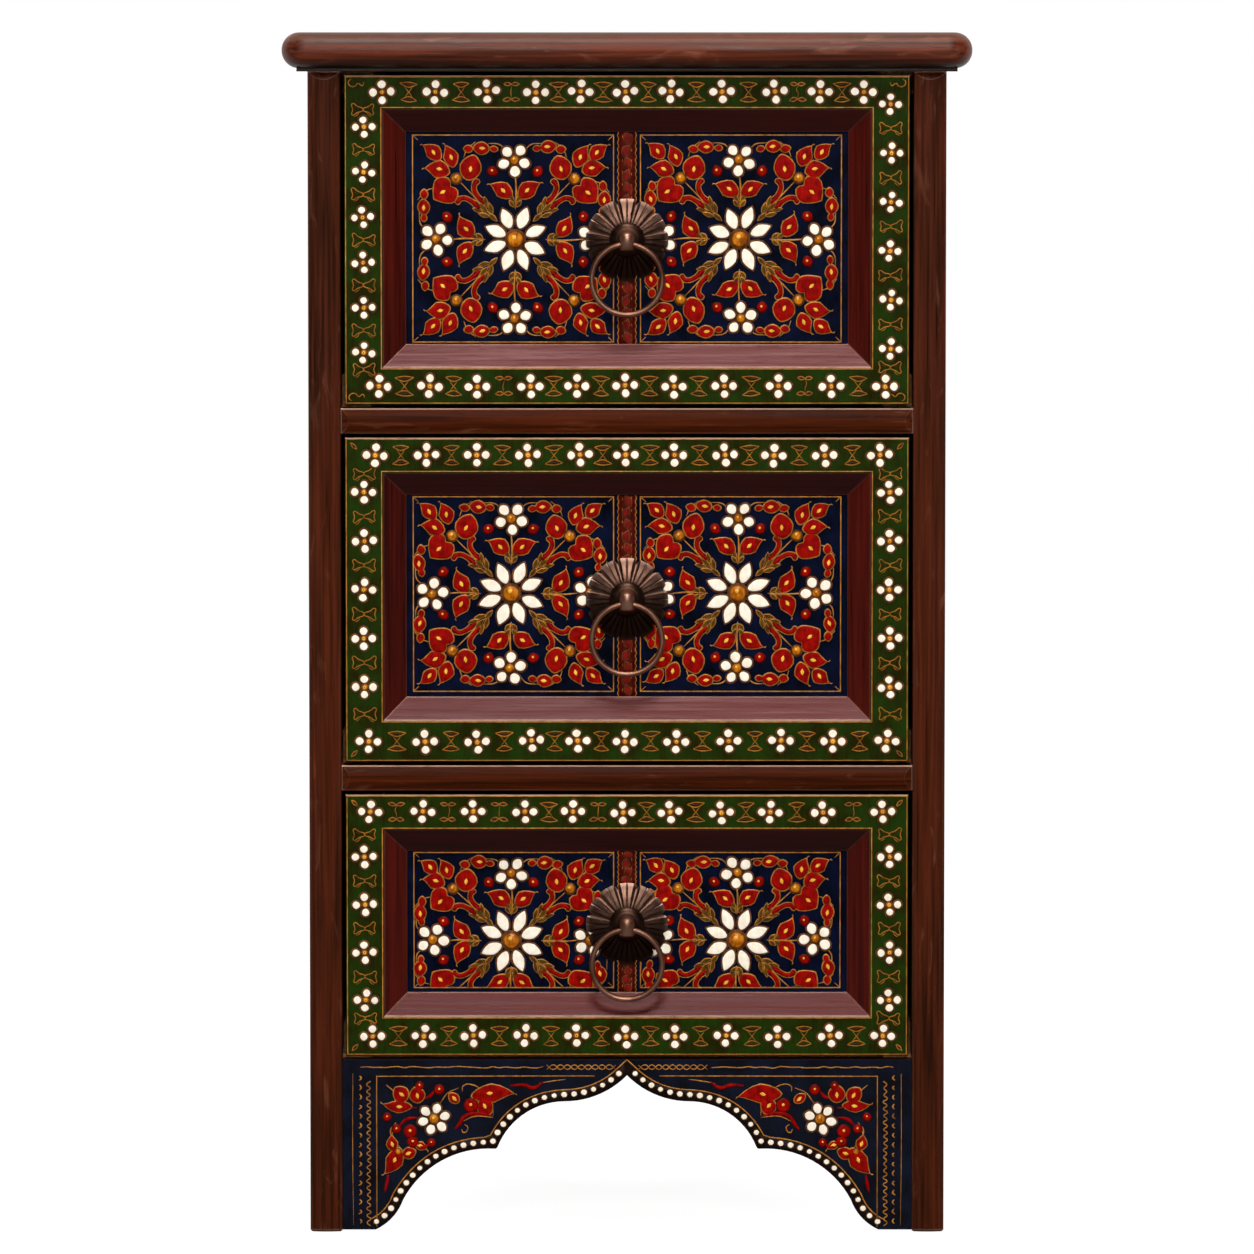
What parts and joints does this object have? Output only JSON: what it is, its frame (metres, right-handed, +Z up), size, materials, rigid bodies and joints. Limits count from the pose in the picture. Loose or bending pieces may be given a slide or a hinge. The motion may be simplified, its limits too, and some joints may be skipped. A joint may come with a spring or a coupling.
{
  "type": "chest of drawers",
  "caption": "Small painted wooden chest of drawers with a bullnosed top, square posts, a lobed pointed-arch apron and hanging ring pulls on flower-shaped plates.",
  "frame": {"origin": "on the floor, under the middle of the top board", "axes": "+X to the right as seen from the front, the front faces -Y, +Z up"},
  "size_m": [0.434, 0.34, 0.7595],
  "materials": {
    "stained_wood": "satin stain",
    "plain_wood": "sanded, unfinished",
    "green_paint": "satin paint",
    "navy_paint": "satin paint",
    "brown_paint": "satin paint",
    "bronze": "aged bronze",
    "screw_steel": "zinc plated"
  },
  "bodies": {
    "carcass": {"top_board": "stained_wood", "front_post_left": "stained_wood", "front_post_right": "stained_wood", "back_post_left": "stained_wood", "back_post_right": "stained_wood", "side_rail_upper_left": "stained_wood", "side_rail_upper_right": "stained_wood", "side_rail_lower_left": "stained_wood", "side_rail_lower_right": "stained_wood", "side_panel_left": "stained_wood", "side_panel_right": "stained_wood", "back_rail_upper": "stained_wood", "back_rail_lower": "stained_wood", "back_panel": "plain_wood", "front_rail_upper": "stained_wood", "front_rail_lower": "stained_wood", "apron": "navy_paint", "bottom_rail": "plain_wood", "upper_runners": "plain_wood", "middle_runners": "plain_wood", "lower_runners": "plain_wood", "drawer_stops": "plain_wood", "top_kickers": "plain_wood", "wood_screws": "screw_steel"},
    "drawer_upper": {"upper_front_stiles": "green_paint", "upper_front_rails": "green_paint", "upper_moulding": "brown_paint", "upper_panel": "navy_paint", "upper_side_left": "plain_wood", "upper_side_right": "plain_wood", "upper_back": "plain_wood", "upper_bottom": "plain_wood", "upper_rosette": "bronze", "upper_eye_bolt": "bronze", "upper_nut": "screw_steel"},
    "drawer_middle": {"middle_front_stiles": "green_paint", "middle_front_rails": "green_paint", "middle_moulding": "brown_paint", "middle_panel": "navy_paint", "middle_side_left": "plain_wood", "middle_side_right": "plain_wood", "middle_back": "plain_wood", "middle_bottom": "plain_wood", "middle_rosette": "bronze", "middle_eye_bolt": "bronze", "middle_nut": "screw_steel"},
    "drawer_lower": {"lower_front_stiles": "green_paint", "lower_front_rails": "green_paint", "lower_moulding": "brown_paint", "lower_panel": "navy_paint", "lower_side_left": "plain_wood", "lower_side_right": "plain_wood", "lower_back": "plain_wood", "lower_bottom": "plain_wood", "lower_rosette": "bronze", "lower_eye_bolt": "bronze", "lower_nut": "screw_steel"},
    "ring_upper": {"upper_ring": "bronze"},
    "ring_middle": {"middle_ring": "bronze"},
    "ring_lower": {"lower_ring": "bronze"}
  },
  "joints": [
    {"name": "upper_drawer_slide", "type": "slide", "parent": "carcass", "child": "drawer_upper", "axis": [0, -1, 0], "range_m": [0, 0.22]},
    {"name": "middle_drawer_slide", "type": "slide", "parent": "carcass", "child": "drawer_middle", "axis": [0, -1, 0], "range_m": [0, 0.22]},
    {"name": "lower_drawer_slide", "type": "slide", "parent": "carcass", "child": "drawer_lower", "axis": [0, -1, 0], "range_m": [0, 0.22]},
    {"name": "upper_ring_swing", "type": "hinge", "parent": "drawer_upper", "child": "ring_upper", "pos_m": [0, -0.156, 0.6265], "axis": [-1, 0, 0], "range_deg": [-8, 165]},
    {"name": "middle_ring_swing", "type": "hinge", "parent": "drawer_middle", "child": "ring_middle", "pos_m": [0, -0.156, 0.3995], "axis": [-1, 0, 0], "range_deg": [-8, 165]},
    {"name": "lower_ring_swing", "type": "hinge", "parent": "drawer_lower", "child": "ring_lower", "pos_m": [0, -0.156, 0.193], "axis": [-1, 0, 0], "range_deg": [-8, 165]}
  ]
}
